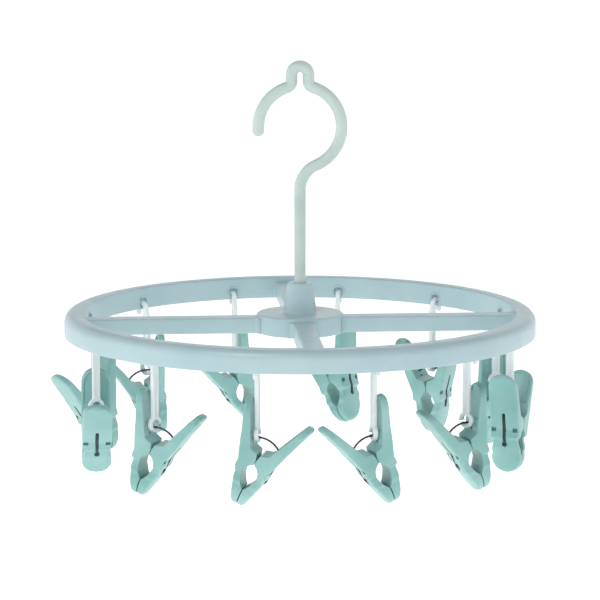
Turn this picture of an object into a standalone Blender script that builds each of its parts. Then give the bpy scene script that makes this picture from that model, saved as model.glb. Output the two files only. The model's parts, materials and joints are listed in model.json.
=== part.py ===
"""Clip drying hanger: a moulded ring on four spokes, a swivelling hook, and twelve clips on links.

The origin is where a rail touches the inside of the hook's crown, +Z is up, the hook lies in the
XZ plane and the spokes lie along X and Y. Each clip hangs by its wire spring from an S-shaped link,
and the link hangs over the lower edge of a slot in the ring's inner wall.
"""
import math

import bmesh
import bpy
from mathutils import Matrix, Vector

MM = 0.001
TOUCH = 0.3 * MM  # gap kept between pieces that touch

# hook
BAR_RADIUS = 3.6 * MM
CROWN_RADIUS = 26.4 * MM  # middle of the bar round the rail
CROWN_Z = BAR_RADIUS - CROWN_RADIUS  # centre of that circle, so the rail touches at z = 0
TIP_DROP = 2.2 * MM
LOOP_HALF = 5.4 * MM  # half the distance between the legs of the small hanging loop
LOOP_LEG_TOP = 10.2 * MM
LOOP_FILLET = 4.0 * MM
NECK_RADIUS = 17.0 * MM
STEM_RADIUS = 3.45 * MM
HEAD_RADIUS = 5.0 * MM
HEAD_TOP_Z = -148.0 * MM
HEAD_BOTTOM_Z = -152.2 * MM

# ring, spokes and hub, one moulding
RING_RADIUS = 150 * MM
RING_INNER = 138 * MM
RING_TOP_Z = -139.9 * MM
RING_BOTTOM_Z = -154.1 * MM
RING_WALL = 2.0 * MM
RING_SHOULDER = 6.0 * MM
RING_SEGMENTS = 60
SLOT_WIDTH = 6.0 * MM
SLOT_TOP_Z = -146.8 * MM
SLOT_BOTTOM_Z = -151.8 * MM
SPOKE_WIDTH = 13.0 * MM
SPOKE_TOP_Z = -143.7 * MM
SPOKE_BOTTOM_Z = -153.6 * MM
HUB_RADIUS = 27.5 * MM
HUB_TOP_Z = -141.4 * MM
HUB_WALL = 2.2 * MM
BOSS_BASE_RADIUS = 10.5 * MM
BOSS_TOP_RADIUS = 8.0 * MM
BOSS_TOP_Z = -122.0 * MM
STEM_HOLE_RADIUS = STEM_RADIUS + 0.4 * MM
HEAD_HOLE_RADIUS = HEAD_RADIUS + 0.6 * MM
HEAD_SEAT_Z = HEAD_TOP_Z + TOUCH

# link: its origin is the middle of the bar of wall under the slot
FACET = math.cos(math.pi / RING_SEGMENTS)  # how far the middle of a flat facet is drawn in
LINK_PIVOT_RADIUS = (RING_INNER + RING_WALL / 2) * FACET
LINK_PIVOT_Z = (SLOT_BOTTOM_Z + RING_BOTTOM_Z) / 2
LINK_THICKNESS = 2.8 * MM
LINK_HOOK_INNER = 1.85 * MM
LINK_HOOK_OUTER = 4.25 * MM
LINK_TIP = 4.0 * MM
SHANK_FACE = -1.3 * MM
SHANK_WIDTH = 4.8 * MM
EYE_DROP = 40.55 * MM
EYE_INNER = 2.8 * MM
EYE_OUTER = 5.0 * MM
EYE_X = SHANK_FACE - SHANK_WIDTH / 2
EYE_GAP = (190, 222)  # degrees of the ring left open, towards the hub

# clip: its origin is the fulcrum, u runs up along it and v across it
WIRE_RADIUS = 0.6 * MM
SPRING_CENTRE = -2.3 * MM
SPRING_RADIUS = 14.6 * MM
SPRING_HALF_ANGLE = 47
JAW_GAP = 0.16 * MM  # from the plane between the jaws to each of them
JAW_OPENING = 30  # degrees that the free jaw turns when the handles are squeezed
HANDLE_ANGLE = 25.5
HANDLE_END = (20.5 * MM, 29.8 * MM)  # centre of the round tip, seen from the side
HANDLE_TIP_RADIUS = 2.3 * MM
PADDLE_U = 23.4 * MM  # centre of the handle's half ellipse, seen from outside
PADDLE_RADIUS = 9.1 * MM
PADDLE_SQUASH = 0.92
DISC_U = -22.3 * MM
DISC_RADIUS = 9.2 * MM
SLOT_HALF = 1.1 * MM

# where each clip hangs: degrees round the ring from the front towards +X, side that the free
# handle points to (+1 is the way the angle grows), tilt and twist in degrees
STATIONS = [
    (-75, 1, 24.0, -14),
    (-45, 1, 21.5, 22),
    (-15, 1, 25.5, 0),
    (15, -1, 25.5, 0),
    (45, -1, 20.5, -27),
    (75, 1, 5.5, -10),
    (105, -1, 25.5, 0),
    (135, 1, 5.0, 12),
    (165, 1, 20.5, -28),
    (195, 1, 25.5, 0),
    (225, 1, 18.0, -37),
    (255, 1, 18.0, -40),
]


def material(name, colour, roughness, metallic=0.0):
    made = bpy.data.materials.new(name)
    made.use_nodes = True
    shader = made.node_tree.nodes["Principled BSDF"]
    shader.inputs["Base Color"].default_value = (*colour, 1)
    shader.inputs["Roughness"].default_value = roughness
    shader.inputs["Metallic"].default_value = metallic
    return made


def add(name, mesh, finish=None):
    made = bpy.data.objects.new(name, mesh)
    bpy.context.scene.collection.objects.link(made)
    if finish:
        mesh.materials.clear()
        mesh.materials.append(finish)
    return made


def arc(centre, radius, start, end, steps):
    """Points on a circle from one angle to another, both in degrees and both included."""
    angles = [math.radians(start + (end - start) * i / steps) for i in range(steps + 1)]
    return [(centre[0] + radius * math.cos(a), centre[1] + radius * math.sin(a)) for a in angles]


def prism(name, outline, half, axes):
    """A closed solid: an outline in the plane of axes, extruded by half to each side of it."""
    across, up = axes
    through = 3 - across - up
    build = bmesh.new()
    corners = []
    for a, b in outline:
        place = [0.0, 0.0, 0.0]
        place[across], place[up], place[through] = a, b, -half
        corners.append(build.verts.new(place))
    face = build.faces.new(corners)
    pushed = bmesh.ops.extrude_face_region(build, geom=[face])
    moved = [v for v in pushed["geom"] if isinstance(v, bmesh.types.BMVert)]
    step = Vector((0, 0, 0))
    step[through] = 2 * half
    bmesh.ops.translate(build, verts=moved, vec=step)
    bmesh.ops.recalc_face_normals(build, faces=build.faces)
    return finished(name, build)


def turned(name, profile, segments, closed):
    """A profile of (radius, z) turned once round Z; an open profile starts and ends on the axis."""
    build = bmesh.new()
    points = [build.verts.new((r, 0, z)) for r, z in profile]
    edges = [build.edges.new(pair) for pair in zip(points, points[1:])]
    if closed:
        edges.append(build.edges.new((points[-1], points[0])))
    bmesh.ops.spin(
        build,
        geom=points + edges,
        axis=(0, 0, 1),
        angle=math.tau,
        steps=segments,
        use_duplicate=False,
    )
    bmesh.ops.remove_doubles(build, verts=build.verts, dist=1e-6)
    bmesh.ops.recalc_face_normals(build, faces=build.faces)
    return finished(name, build)


def finished(name, build):
    mesh = bpy.data.meshes.new(name)
    build.to_mesh(mesh)
    build.free()
    return add(name, mesh)


def tube(name, points, radius, sides_level, factors=None):
    """A round bar along a path of points, with filled ends."""
    curve = bpy.data.curves.new(name, "CURVE")
    curve.dimensions = "3D"
    curve.bevel_depth = radius
    curve.bevel_resolution = sides_level
    curve.use_fill_caps = True
    spline = curve.splines.new("POLY")
    spline.points.add(len(points) - 1)
    for i, (x, z) in enumerate(points):
        spline.points[i].co = (x, 0, z, 1)
        spline.points[i].radius = factors[i] if factors else 1.0
    return add(name, curve)


def combined(base, parts):
    """The mesh of base after each (operation, object) in turn; all of them are then removed."""
    for operation, other in parts:
        step = base.modifiers.new(other.name, "BOOLEAN")
        step.operation = operation
        step.object = other
        step.solver = "EXACT"
        other.hide_render = True
        other.display_type = "WIRE"
    bpy.context.view_layer.update()
    graph = bpy.context.evaluated_depsgraph_get()
    mesh = bpy.data.meshes.new_from_object(base.evaluated_get(graph))
    mesh.name = base.name
    for other in [base] + [other for _, other in parts]:
        bpy.data.objects.remove(other)
    return mesh


def smooth(mesh, angle=32):
    mesh.shade_smooth()
    mesh.set_sharp_from_angle(angle=math.radians(angle))
    return mesh


def hook_path():
    """The middle line of the hook, from its tip over the crown and down the stem, with the bar's
    radius at each point as a share of BAR_RADIUS."""
    crown = (0, CROWN_Z)
    fillet_reach = CROWN_RADIUS + LOOP_FILLET
    fillet_x = LOOP_HALF + LOOP_FILLET
    fillet_z = CROWN_Z + math.sqrt(fillet_reach**2 - fillet_x**2)
    lean = math.degrees(math.asin(fillet_x / fillet_reach))
    neck_z = CROWN_Z - math.sqrt((CROWN_RADIUS + NECK_RADIUS) ** 2 - NECK_RADIUS**2)
    neck_angle = math.degrees(math.atan2(neck_z - CROWN_Z, NECK_RADIUS))
    tip = [
        (-CROWN_RADIUS, CROWN_Z - TIP_DROP - BAR_RADIUS * drop) for drop in (1.0, 0.86, 0.5, 0.0)
    ]
    bar = (
        arc(crown, CROWN_RADIUS, 180, 90 + lean, 5)
        + arc((-fillet_x, fillet_z), LOOP_FILLET, lean - 90, 0, 4)[1:]
        + arc((0, LOOP_LEG_TOP), LOOP_HALF, 180, 0, 8)
        + arc((fillet_x, fillet_z), LOOP_FILLET, 180, 270 - lean, 4)
        + arc(crown, CROWN_RADIUS, 90 - lean, neck_angle, 10)[1:]
        + arc((NECK_RADIUS, neck_z), NECK_RADIUS, 180 + neck_angle, 180, 5)[1:]
    )
    stem = [(0, HEAD_TOP_Z + 0.05 * MM), (0, HEAD_TOP_Z), (0, HEAD_TOP_Z - 1.4 * MM)]
    stem += [(0, HEAD_BOTTOM_Z)]
    head = HEAD_RADIUS / BAR_RADIUS
    thin = STEM_RADIUS / BAR_RADIUS
    factors = [0.35, 0.62, 0.9, 1.0] + [1.0] * len(bar) + [thin, head, head, 0.75 * thin]
    return tip + bar + stem, factors


def make_hook(finish):
    points, factors = hook_path()
    mesh = combined(tube("hook", points, BAR_RADIUS, 3, factors), [])
    return add("hook", smooth(mesh, 50), finish)


def ring_profile():
    shoulder = (RING_RADIUS - RING_SHOULDER, RING_TOP_Z - RING_SHOULDER)
    outer = [(RING_RADIUS, RING_BOTTOM_Z)] + arc(shoulder, RING_SHOULDER, 0, 90, 4)
    inner = [(RING_INNER + 1.5 * MM, RING_TOP_Z), (RING_INNER, RING_TOP_Z - 1.5 * MM)]
    inner += [(RING_INNER, RING_BOTTOM_Z)]
    ceiling = RING_TOP_Z - 1.1 * RING_WALL
    wall_in = RING_INNER + RING_WALL
    wall_out = RING_RADIUS - RING_WALL
    hollow = [
        (wall_in, RING_BOTTOM_Z),
        (wall_in, ceiling),
        (wall_out - 3.5 * MM, ceiling),
        (wall_out, ceiling - 3.5 * MM),
        (wall_out, RING_BOTTOM_Z),
    ]
    return outer + inner + hollow


def box(name, low, high):
    outline = [(low[0], low[1]), (high[0], low[1]), (high[0], high[1]), (low[0], high[1])]
    made = prism(name, outline, (high[2] - low[2]) / 2, (0, 1))
    made.data.transform(Matrix.Translation((0, 0, (high[2] + low[2]) / 2)))
    return made


def make_frame(finish):
    """The ring, the spokes, the hub and its boss as one moulding, hollow from below."""
    hub = turned(
        "hub",
        [
            (0, SPOKE_BOTTOM_Z),
            (HUB_RADIUS, SPOKE_BOTTOM_Z),
            (HUB_RADIUS, HUB_TOP_Z - 1.5 * MM),
            (HUB_RADIUS - 1.5 * MM, HUB_TOP_Z),
            (BOSS_BASE_RADIUS, HUB_TOP_Z),
            (BOSS_TOP_RADIUS + 1 * MM, BOSS_TOP_Z - 1.2 * MM),
            (BOSS_TOP_RADIUS, BOSS_TOP_Z),
            (0, BOSS_TOP_Z),
        ],
        32,
        closed=False,
    )
    reach = (RING_INNER + 0.7 * RING_WALL) * FACET
    half = SPOKE_WIDTH / 2
    floor = SPOKE_BOTTOM_Z - 1 * MM
    arms = [
        box("arm_x", (-reach, -half, SPOKE_BOTTOM_Z), (reach, half, SPOKE_TOP_Z)),
        box("arm_y", (-half, -reach, SPOKE_BOTTOM_Z), (half, reach, SPOKE_TOP_Z)),
    ]
    ring = turned("ring", ring_profile(), RING_SEGMENTS, closed=True)
    hollow = turned(
        "hub_hollow",
        [
            (HEAD_HOLE_RADIUS + HUB_WALL, floor),
            (HUB_RADIUS - HUB_WALL, floor),
            (HUB_RADIUS - HUB_WALL, HUB_TOP_Z - HUB_WALL),
            (HEAD_HOLE_RADIUS + HUB_WALL, HUB_TOP_Z - HUB_WALL),
        ],
        32,
        closed=True,
    )
    bore = turned(
        "bore",
        [
            (0, floor),
            (HEAD_HOLE_RADIUS, floor),
            (HEAD_HOLE_RADIUS, HEAD_SEAT_Z),
            (STEM_HOLE_RADIUS, HEAD_SEAT_Z),
            (STEM_HOLE_RADIUS, BOSS_TOP_Z + 1 * MM),
            (0, BOSS_TOP_Z + 1 * MM),
        ],
        20,
        closed=False,
    )
    cuts = [("DIFFERENCE", hollow), ("DIFFERENCE", bore)]
    inside = half - RING_WALL
    ceiling = SPOKE_TOP_Z - RING_WALL
    for side in (-1, 1):
        near, far = sorted((side * HUB_RADIUS, side * (RING_INNER * FACET - RING_WALL)))
        along_x = box("trough", (near, -inside, floor), (far, inside, ceiling))
        along_y = box("trough", (-inside, near, floor), (inside, far, ceiling))
        cuts += [("DIFFERENCE", along_x), ("DIFFERENCE", along_y)]
    for angle, *_ in STATIONS:
        low = (RING_INNER - 2 * MM, -SLOT_WIDTH / 2, SLOT_BOTTOM_Z)
        high = (RING_INNER + 4 * MM, SLOT_WIDTH / 2, SLOT_TOP_Z)
        slot = box("slot", low, high)
        slot.data.transform(Matrix.Rotation(math.radians(angle - 90), 4, "Z"))
        cuts.append(("DIFFERENCE", slot))
    mesh = combined(hub, [("UNION", arms[0]), ("UNION", arms[1]), ("UNION", ring)] + cuts)
    return add("frame", smooth(mesh), finish)


def link_mesh():
    """The S-shaped link's outline in its own plane, x away from the hub, given its thickness."""
    meet = 180 + math.degrees(math.acos(-SHANK_FACE / LINK_HOOK_INNER))
    middle = (LINK_HOOK_INNER + LINK_HOOK_OUTER) / 2
    tip = (LINK_HOOK_OUTER - LINK_HOOK_INNER) / 2
    far_face = SHANK_FACE - SHANK_WIDTH
    eye = (EYE_X, -EYE_DROP)
    inside_hook = arc((0, 0), LINK_HOOK_INNER, 0, meet, 8)
    outside_hook = arc((0, 0), LINK_HOOK_OUTER, 180, 0, 8)
    round_tip = arc((middle, -LINK_TIP), tip, 0, -180, 4)
    join = math.degrees(math.acos((SHANK_WIDTH / 2) / EYE_OUTER))
    eye_half = (EYE_OUTER - EYE_INNER) / 2
    ends = arc(eye, (EYE_INNER + EYE_OUTER) / 2, EYE_GAP[0], EYE_GAP[1], 1)
    high_centre, low_centre = ends
    outline = (
        inside_hook
        + [(SHANK_FACE, eye[1] + EYE_OUTER * math.sin(math.radians(join)))]
        + arc(eye, EYE_OUTER, join, EYE_GAP[1] - 360, 12)[1:]
        + arc(low_centre, eye_half, EYE_GAP[1] - 360, EYE_GAP[1] - 540, 3)[1:]
        + arc(eye, EYE_INNER, EYE_GAP[1], EYE_GAP[0] + 360, 12)[1:]
        + arc(high_centre, eye_half, EYE_GAP[0], EYE_GAP[0] - 180, 3)[1:-1]
        + arc(eye, EYE_OUTER, EYE_GAP[0], 180 - join, 3)
        + [(far_face, -7 * MM), (far_face * 0.86, -2.5 * MM)]
        + outside_hook
        + round_tip
    )
    return combined(prism("link", outline, LINK_THICKNESS / 2, (0, 2)), [])


def jaw_profile():
    """One half of the clip seen from its side, (v, u)."""
    lean = math.radians(HANDLE_ANGLE)
    relief = math.tan(math.radians(JAW_OPENING / 2 + 0.5))
    crotch = 3.9 * MM
    handle_end = arc(HANDLE_END, HANDLE_TIP_RADIUS, -HANDLE_ANGLE, 180 - HANDLE_ANGLE, 4)
    inner_foot = 8.4 * MM
    inner_end = handle_end[-1]
    inner_v = inner_end[0] - math.tan(lean) * (inner_end[1] - inner_foot)
    window = [(2.2, -4.4), (4.2, -7), (4.8, -9.8), (4.4, -13), (3.0, -16.5), (1.3, -19)]
    return (
        [(1.0 * MM, -31.4 * MM), (3.4 * MM, -31.2 * MM), (4.5 * MM, -29.8 * MM)]
        + [(9.6 * MM, -15.2 * MM), (10.8 * MM, -4 * MM), (15.4 * MM, 9.3 * MM)]
        + handle_end
        + [(inner_v, inner_foot), (6.6 * MM, 5.8 * MM), (4.2 * MM, 4.4 * MM)]
        + [(JAW_GAP + relief * crotch, crotch), (JAW_GAP, 0), (JAW_GAP, -3.2 * MM)]
        + [(v * MM, u * MM) for v, u in window]
        + [(JAW_GAP, -20.2 * MM), (JAW_GAP, -30.6 * MM)]
    )


def jaw_face():
    """The same half seen from outside, (w, u): a round jaw, a waist, a block and a paddle."""
    disc = arc((0, DISC_U), DISC_RADIUS, -160, -20, 8)
    end = [(w, PADDLE_U + PADDLE_SQUASH * u) for w, u in arc((0, 0), PADDLE_RADIUS, 0, 180, 8)]
    right = [(8.6, -14), (8.3, -9.5), (9.3, -4), (9.3, 8)]
    side = [(w * MM, u * MM) for w, u in right]
    return disc + side + end + [(-w, u) for w, u in reversed(side)]


def jaw_mesh():
    half_width = 12 * MM
    body = prism("jaw", jaw_profile(), half_width, (0, 2))
    face = prism("jaw_face", jaw_face(), 40 * MM, (1, 2))
    groove = prism(
        "jaw_groove",
        [(5, 10.6), (5, 8.0), (9.4, 4.5), (9.4, -12.2), (20, -12.2), (20, 10.6)],
        SLOT_HALF / MM,
        (0, 2),
    )
    groove.data.transform(Matrix.Scale(MM, 4))
    return combined(body, [("INTERSECT", face), ("DIFFERENCE", groove)])


def spring_mesh():
    """The wire: an arc between the handles, and a leg down the outside of each jaw."""
    leg = [(12.3, 3.2), (12.1, -4.0), (11.3, -10.5), (11.3, -13.6), (10.6, -15.6)]
    right = [(v * MM, u * MM) for v, u in leg]
    top = arc(
        (0, SPRING_CENTRE), SPRING_RADIUS, 90 + SPRING_HALF_ANGLE, 90 - SPRING_HALF_ANGLE, 9
    )
    points = [(-v, u) for v, u in reversed(right)] + top + right
    return combined(tube("spring", points, WIRE_RADIUS, 1), [])


def make_stations(link, jaw, spring, finishes):
    """The twelve links and clips; a clip's empty is on the axis that it rocks about."""
    for number, (angle, side, tilt, twist) in enumerate(STATIONS, 1):
        outward = math.radians(angle - 90)
        hung = add(f"link_{number:02d}", link, finishes["link"])
        hung.location = (
            LINK_PIVOT_RADIUS * math.cos(outward),
            LINK_PIVOT_RADIUS * math.sin(outward),
            LINK_PIVOT_Z,
        )
        hung.rotation_euler = (0, 0, outward)
        # the wire rides higher in the eye when it crosses it at an angle
        slack = EYE_INNER - WIRE_RADIUS - TOUCH
        skew = math.radians(abs(twist))
        spread = LINK_THICKNESS / 2 * math.tan(skew) + WIRE_RADIUS * (1 / math.cos(skew) - 1)
        wire_z = LINK_PIVOT_Z - EYE_DROP - math.sqrt(slack**2 - spread**2)
        eye_radius = LINK_PIVOT_RADIUS + EYE_X
        pivot = bpy.data.objects.new(f"clip_pivot_{number:02d}", None)
        bpy.context.scene.collection.objects.link(pivot)
        pivot.location = (
            eye_radius * math.cos(outward),
            eye_radius * math.sin(outward),
            wire_z - SPRING_RADIUS,
        )
        turn = outward + side * math.pi / 2 + math.radians(twist)
        pivot.rotation_euler = (0, math.radians(tilt), turn)
        pieces = [
            ("jaw_a", jaw, math.pi, finishes["jaw"]),
            ("jaw_b", jaw, 0, finishes["jaw"]),
            ("spring", spring, 0, finishes["spring"]),
        ]
        for kind, mesh, half_turn, finish in pieces:
            piece = add(f"{kind}_{number:02d}", mesh, finish)
            piece.parent = pivot
            piece.location = (0, 0, -SPRING_CENTRE)
            piece.rotation_euler = (0, 0, half_turn)


def main():
    for old in list(bpy.data.objects):
        bpy.data.objects.remove(old)
    finishes = {
        "hook": material("hook plastic", (0.36, 0.54, 0.50), 0.38),
        "frame": material("ring plastic", (0.43, 0.61, 0.66), 0.35),
        "link": material("white plastic", (0.80, 0.80, 0.84), 0.42),
        "jaw": material("clip plastic", (0.22, 0.58, 0.52), 0.35),
        "spring": material("spring steel", (0.18, 0.18, 0.19), 0.3, 1.0),
    }
    make_hook(finishes["hook"])
    make_frame(finishes["frame"])
    link, jaw, spring = smooth(link_mesh()), smooth(jaw_mesh()), smooth(spring_mesh(), 60)
    make_stations(link, jaw, spring, finishes)


main()
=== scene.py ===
# %% [markdown]
# # Clip drying hanger: the moulded surfaces and their finishes
# The working model gives every place: where the ring, the links and the clips are, and what each
# joint turns about. This lesson puts a fine surface over each of its plain solids. All lengths
# are in millimetres until a mesh is written, and then they are turned to metres.

# %% Load the working model
import json
import math

import bmesh
import bpy
import numpy as np
from mathutils import Matrix, Vector


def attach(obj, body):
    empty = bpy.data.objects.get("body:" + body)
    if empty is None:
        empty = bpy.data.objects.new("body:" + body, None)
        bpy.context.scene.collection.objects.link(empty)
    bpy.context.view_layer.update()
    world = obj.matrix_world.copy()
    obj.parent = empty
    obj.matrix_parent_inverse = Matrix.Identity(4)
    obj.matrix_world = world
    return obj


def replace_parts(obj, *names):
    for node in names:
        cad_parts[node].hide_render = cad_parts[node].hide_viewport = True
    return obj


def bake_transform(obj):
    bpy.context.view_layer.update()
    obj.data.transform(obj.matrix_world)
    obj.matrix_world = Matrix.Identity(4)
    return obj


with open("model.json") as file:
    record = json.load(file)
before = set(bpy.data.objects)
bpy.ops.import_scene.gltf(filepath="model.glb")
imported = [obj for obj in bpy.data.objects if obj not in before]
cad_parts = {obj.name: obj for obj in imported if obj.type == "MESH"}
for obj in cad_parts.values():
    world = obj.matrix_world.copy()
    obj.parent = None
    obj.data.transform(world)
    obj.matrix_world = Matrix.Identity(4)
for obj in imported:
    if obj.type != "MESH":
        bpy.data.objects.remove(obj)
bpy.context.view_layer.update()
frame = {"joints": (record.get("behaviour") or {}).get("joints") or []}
MM = 0.001
JOINTS = {joint["name"]: joint for joint in frame["joints"]}

# %% [markdown]
# ## Where things hang
# Each station on the ring has three hinges: the link swings on the ring's wall, the clip rocks in
# the link's eye, and the free jaw opens about its fulcrum. Their points and axes are enough to
# place everything, so no place is typed in twice. A clip's own directions are v, across its jaws,
# w, along its fulcrum, and u, up between its handles.

# %% Places of the twelve stations
STATIONS = [name[-2:] for name in JOINTS if name.startswith("link_swing_")]


def point_mm(joint):
    return np.array(JOINTS[joint]["pos_m"]) / MM


def axis_of(joint):
    axis = np.array(JOINTS[joint]["axis"], float)
    return axis / np.linalg.norm(axis)


def link_place(station):
    """The link's origin on the bar of wall, and its axes: outwards, along the wall, up."""
    along = axis_of(f"link_swing_{station}")
    up = np.array([0.0, 0.0, 1.0])
    return point_mm(f"link_swing_{station}"), np.array([np.cross(along, up), along, up])


def clip_place(station):
    """The clip's fulcrum, and its axes v, w and u as rows."""
    pivot, fulcrum = point_mm(f"clip_rock_{station}"), point_mm(f"jaw_open_{station}")
    w = axis_of(f"clip_rock_{station}")
    u = (fulcrum - pivot) / np.linalg.norm(fulcrum - pivot)
    return fulcrum, np.array([np.cross(w, u), w, u])


print(STATIONS, "first link at", link_place(STATIONS[0])[0].round(1))

# %% [markdown]
# ## Camera
# A long lens from two metres, nine degrees above the ring and a little to its left, so that the
# ring is a shallow ellipse and the near clips hang below it.

# %% Camera
VIEW_TURN = math.radians(-4.1)
VIEW_RISE = math.radians(9.2)
VIEW_DISTANCE = 2.1
VIEW_TARGET = Vector((0, 0, -0.1335))
LENS = 197.8


def add_camera():
    towards = Vector(
        (
            math.sin(VIEW_TURN) * math.cos(VIEW_RISE),
            -math.cos(VIEW_TURN) * math.cos(VIEW_RISE),
            math.sin(VIEW_RISE),
        )
    )
    camera = bpy.data.objects.new("camera", bpy.data.cameras.new("camera"))
    camera.data.lens = LENS
    camera.data.sensor_width = 36
    camera.data.clip_end = 60
    camera.location = VIEW_TARGET + VIEW_DISTANCE * towards
    camera.rotation_euler = towards.to_track_quat("Z", "Y").to_euler()
    bpy.context.scene.collection.objects.link(camera)
    bpy.context.scene.camera = camera
    return camera


print("camera at", add_camera().location)

# %% [markdown]
# ## Nodes and colours
# Colours are written as the hex values that a paint shop would quote. They are sRGB, and Blender
# mixes light in linear values, so one function converts them. Another adds a node with its
# settings and links; the sky and every material below are made with those two.


# %% Node helper and colours
def linear(code):
    """A hex sRGB colour as linear RGBA."""
    srgb = np.array([int(code[i : i + 2], 16) for i in (1, 3, 5)]) / 255
    rgb = np.where(srgb <= 0.04045, srgb / 12.92, ((srgb + 0.055) / 1.055) ** 2.4)
    return (*rgb.tolist(), 1.0)


def node(tree, kind, inputs=None, **settings):
    """Adds a node; inputs maps a socket's name or number to a value or to another output."""
    made = tree.nodes.new("ShaderNode" + kind)
    for key, value in settings.items():
        setattr(made, key, value)
    for key, value in (inputs or {}).items():
        if isinstance(value, bpy.types.NodeSocket):
            tree.links.new(value, made.inputs[key])
        else:
            made.inputs[key].default_value = value
    return made


def per_metre(size_mm):
    """The scale of a texture whose marks are size_mm across, on coordinates in metres."""
    return 1 / (size_mm * MM)


# %% [markdown]
# ## Studio
# The hanger floats in a bright white room: a white floor far below it, pale walls all round, and
# four big soft lamps. The lamp over the left shoulder is the strongest, so upper faces are
# lighter than upright ones and round bars show one soft highlight. One lamp at each side keeps
# the ends of the ring as light as its front, and one behind lifts the rim.

# %% Floor, sky and lamps
FLOOR_Z = -0.62
FLOOR_HALF = 14.0


def add_lamp(name, place, size, power):
    """A square soft lamp that faces the middle of the hanger."""
    lamp = bpy.data.lights.new(name, "AREA")
    lamp.shape = "SQUARE"
    lamp.size = size
    lamp.energy = power
    made = bpy.data.objects.new(name, lamp)
    made.location = place
    made.rotation_euler = (Vector(place) - VIEW_TARGET).to_track_quat("Z", "Y").to_euler()
    bpy.context.scene.collection.objects.link(made)
    return made


def add_sky(overhead, horizon):
    """White light whose strength falls from the horizon's to the overhead one 30 degrees up."""
    world = bpy.data.worlds.new("white room")
    world.use_nodes = True
    tree = world.node_tree
    way = node(tree, "TexCoord").outputs["Generated"]
    height = node(tree, "SeparateXYZ", {"Vector": way}).outputs["Z"]
    fade = node(tree, "MapRange", {"Value": height, 1: 0.2, 2: 0.5, 3: horizon, 4: overhead})
    room = tree.nodes["Background"]
    room.inputs["Color"].default_value = (1, 1, 1, 1)
    tree.links.new(fade.outputs["Result"], room.inputs["Strength"])
    bpy.context.scene.world = world


add_lamp("key lamp", (-1.1, -1.5, 1.7), 0.9, 17)
add_lamp("right lamp", (2.2, 0.1, 0.4), 1.4, 5)
add_lamp("left lamp", (-2.2, 0.2, 0.4), 1.4, 5)
add_lamp("back lamp", (0.5, 1.9, 1.3), 1.4, 6)
add_sky(0.3, 1.0)
bpy.context.scene.view_settings.view_transform = "Standard"

# %% [markdown]
# ## Making surfaces from rings of points
# Nearly every piece here is a row of closed rings, each with the same number of points: a bar is
# its round section carried along a path, a turned part is its profile carried round an axis, and
# a clip jaw is a soft-cornered slice at each height. One function joins such rings with quads,
# and one puts the result in the scene as a closed mesh whose faces look outwards.


# %% Rings to a closed surface
def skin(rings, closed=False):
    """Quads between neighbouring rings of an (n, m, 3) array; unless closed, the two end rings
    are filled with one many-sided face each."""
    count, around, _ = rings.shape
    index = np.arange(count * around).reshape(count, around)
    here = index if closed else index[:-1]
    ahead = np.roll(index, -1, axis=0)[: len(here)]
    quads = np.stack([here, np.roll(here, -1, 1), np.roll(ahead, -1, 1), ahead], axis=-1)
    faces = quads.reshape(-1, 4).tolist()
    if not closed:
        faces += [index[0, ::-1].tolist(), index[-1].tolist()]
    return rings.reshape(-1, 3), faces


def joined(shapes):
    """Several (points, faces) shapes as one, each staying a closed shell of its own."""
    points, faces, start = [], [], 0
    for shape_points, shape_faces in shapes:
        points.append(shape_points)
        faces += [[start + corner for corner in face] for face in shape_faces]
        start += len(shape_points)
    return np.vstack(points), faces


def placed(shape, origin, axes):
    """A shape moved to an origin, with its own x, y and z along the rows of axes."""
    points, faces = shape
    return np.asarray(origin) + points @ np.asarray(axes), faces


def mesh_of(name, shape, crease=35):
    """A closed mesh in metres, outward, smooth except where faces meet at more than crease."""
    points, faces = shape
    mesh = bpy.data.meshes.new(name)
    mesh.from_pydata((points * MM).tolist(), [], faces)
    build = bmesh.new()
    build.from_mesh(mesh)
    bmesh.ops.recalc_face_normals(build, faces=build.faces)
    build.to_mesh(mesh)
    build.free()
    mesh.shade_smooth()
    mesh.set_sharp_from_angle(angle=math.radians(crease))
    return mesh


def shown(name, mesh, material):
    made = bpy.data.objects.new(name, mesh)
    bpy.context.scene.collection.objects.link(made)
    mesh.materials.clear()
    mesh.materials.append(material)
    return made


def carved(mesh, cutter_shape, crease=35):
    """The mesh with a set of closed cutter shapes taken out of it."""
    base = bpy.data.objects.new("base", mesh)
    cutter = bpy.data.objects.new("cutter", mesh_of("cutter", cutter_shape))
    for made in (base, cutter):
        bpy.context.scene.collection.objects.link(made)
    step = base.modifiers.new("carve", "BOOLEAN")
    step.operation = "DIFFERENCE"
    step.solver = "EXACT"
    step.object = cutter
    bpy.context.view_layer.update()
    graph = bpy.context.evaluated_depsgraph_get()
    result = bpy.data.meshes.new_from_object(base.evaluated_get(graph))
    result.name = mesh.name
    bpy.data.objects.remove(base)
    bpy.data.objects.remove(cutter)
    result.shade_smooth()
    result.set_sharp_from_angle(angle=math.radians(crease))
    return result


# %% [markdown]
# ## Arcs, plates, turned parts and bars
# Four small makers do the rest. A plate is an outline with thickness, whose rim is rounded by
# moving its rings in along the outline's own normals. A turned part spins a profile round Z. A
# bar carries a round section along a path that lies in one plane.


# %% Shape makers
def arc(centre, radius, start, end, steps):
    """Points centre + radius (cos a, sin a), a from start to end degrees, both included."""
    a = np.radians(np.linspace(start, end, steps + 1))
    return np.column_stack([centre[0] + radius * np.cos(a), centre[1] + radius * np.sin(a)])


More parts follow.
